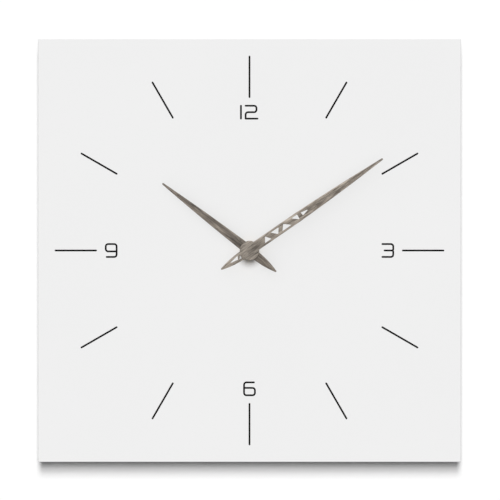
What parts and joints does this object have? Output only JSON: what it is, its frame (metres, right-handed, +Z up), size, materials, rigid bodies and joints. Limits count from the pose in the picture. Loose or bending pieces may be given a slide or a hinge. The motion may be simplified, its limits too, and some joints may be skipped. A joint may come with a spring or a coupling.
{
  "type": "wall clock",
  "caption": "Square frameless wall clock: white panel with engraved dashes and numerals, stained wooden hands, wooden sub-frame and a battery quartz movement.",
  "frame": {"origin": "the point on the wall where the hanging screw carries the keyhole plate, on the clock's vertical centre line", "axes": "+Y from the dial into the wall, so the dial faces -Y; +Z up; +X to the right as the dial is read"},
  "size_m": [0.42, 0.0427, 0.42],
  "materials": {
    "white_lacquer": "fine matt white lacquer over fibreboard, engraved marks filled with matt black paint",
    "pine": "planed pine, oiled",
    "zinc_plated_steel": "zinc plated, satin",
    "bumper_rubber": "soft black rubber",
    "black_plastic": "black moulded plastic, fine spark texture",
    "knob_plastic": "black moulded plastic, knurled edge",
    "gear_plastic": "natural white acetal",
    "brass": "turned brass",
    "ferrite": "sintered ferrite magnet",
    "motor_iron": "punched soft iron",
    "enamelled_copper": "enamelled copper winding wire",
    "board_laminate": "green solder mask on glass laminate",
    "battery_jacket": "plain shrink jacket over a metal can",
    "stained_wood": "grey-brown stained open-grained wood, matt"
  },
  "bodies": {
    "housing": {"dial_panel": "white_lacquer", "batten_top": "pine", "batten_bottom": "pine", "batten_left": "pine", "batten_right": "pine", "hanger_plate": "zinc_plated_steel", "hanger_screw_left": "zinc_plated_steel", "hanger_screw_right": "zinc_plated_steel", "bumper_top_left": "bumper_rubber", "bumper_top_right": "bumper_rubber", "bumper_bottom_left": "bumper_rubber", "bumper_bottom_right": "bumper_rubber", "movement_front_case": "black_plastic", "movement_back_cover": "black_plastic", "middle_plate": "gear_plastic", "bush_nut": "brass", "bush_washer": "zinc_plated_steel", "rubber_washer": "bumper_rubber", "stator": "motor_iron", "coil_core": "motor_iron", "coil_bobbin": "gear_plastic", "coil_winding": "enamelled_copper", "circuit_board": "board_laminate", "timing_chip": "black_plastic", "quartz_crystal": "zinc_plated_steel", "battery_contact_minus": "zinc_plated_steel", "battery_contact_plus": "zinc_plated_steel"},
    "minute_set": {"minute_hand": "stained_wood", "minute_hand_collet": "brass", "minute_arbor": "brass"},
    "hour_set": {"hour_hand": "stained_wood", "hour_hand_collet": "brass", "hour_wheel": "gear_plastic"},
    "motion_set": {"motion_wheel": "gear_plastic"},
    "knob_set": {"setting_knob": "knob_plastic"},
    "rotor_set": {"rotor_pinion": "gear_plastic", "rotor_magnet": "ferrite"},
    "intermediate_set": {"intermediate_wheel": "gear_plastic"},
    "seconds_set": {"seconds_wheel": "gear_plastic"},
    "third_set": {"third_wheel": "gear_plastic"},
    "centre_set": {"centre_wheel": "gear_plastic", "clutch_spring": "zinc_plated_steel"},
    "battery_set": {"battery": "battery_jacket"}
  },
  "joints": [
    {"name": "minute_spin", "type": "hinge", "parent": "housing", "child": "minute_set", "pos_m": [0, -0.0212, -0.1328], "axis": [0, 1, 0], "continuous": true},
    {"name": "hour_spin", "type": "hinge", "parent": "housing", "child": "hour_set", "pos_m": [0, -0.0212, -0.1328], "axis": [0, 1, 0], "continuous": true},
    {"name": "motion_spin", "type": "hinge", "parent": "housing", "child": "motion_set", "pos_m": [0.00799, -0.0212, -0.12678], "axis": [0, 1, 0], "continuous": true},
    {"name": "knob_spin", "type": "hinge", "parent": "housing", "child": "knob_set", "pos_m": [0.01799, -0.0212, -0.12678], "axis": [0, 1, 0], "continuous": true},
    {"name": "rotor_spin", "type": "hinge", "parent": "housing", "child": "rotor_set", "pos_m": [0.00344, -0.0212, -0.11847], "axis": [0, 1, 0], "continuous": true},
    {"name": "intermediate_spin", "type": "hinge", "parent": "housing", "child": "intermediate_set", "pos_m": [0.00694, -0.0212, -0.12453], "axis": [0, 1, 0], "continuous": true},
    {"name": "seconds_spin", "type": "hinge", "parent": "housing", "child": "seconds_set", "pos_m": [0, -0.0212, -0.1328], "axis": [0, 1, 0], "continuous": true},
    {"name": "third_spin", "type": "hinge", "parent": "housing", "child": "third_set", "pos_m": [-0.00883, -0.0212, -0.1277], "axis": [0, 1, 0], "continuous": true},
    {"name": "centre_spin", "type": "hinge", "parent": "housing", "child": "centre_set", "pos_m": [0, -0.0212, -0.1328], "axis": [0, 1, 0], "continuous": true},
    {"name": "battery_slide", "type": "slide", "parent": "housing", "child": "battery_set", "axis": [0, 1, 0], "range_m": [0, 0.02]}
  ],
  "couplings": [
    {"joint": "hour_spin", "follows": "minute_spin", "ratio": 0.083333},
    {"joint": "motion_spin", "follows": "minute_spin", "ratio": -0.33333},
    {"joint": "knob_spin", "follows": "minute_spin", "ratio": 1},
    {"joint": "intermediate_spin", "follows": "rotor_spin", "ratio": -0.16667},
    {"joint": "seconds_spin", "follows": "rotor_spin", "ratio": 0.033333},
    {"joint": "third_spin", "follows": "rotor_spin", "ratio": -0.0041667},
    {"joint": "centre_spin", "follows": "rotor_spin", "ratio": 0.00055556}
  ]
}
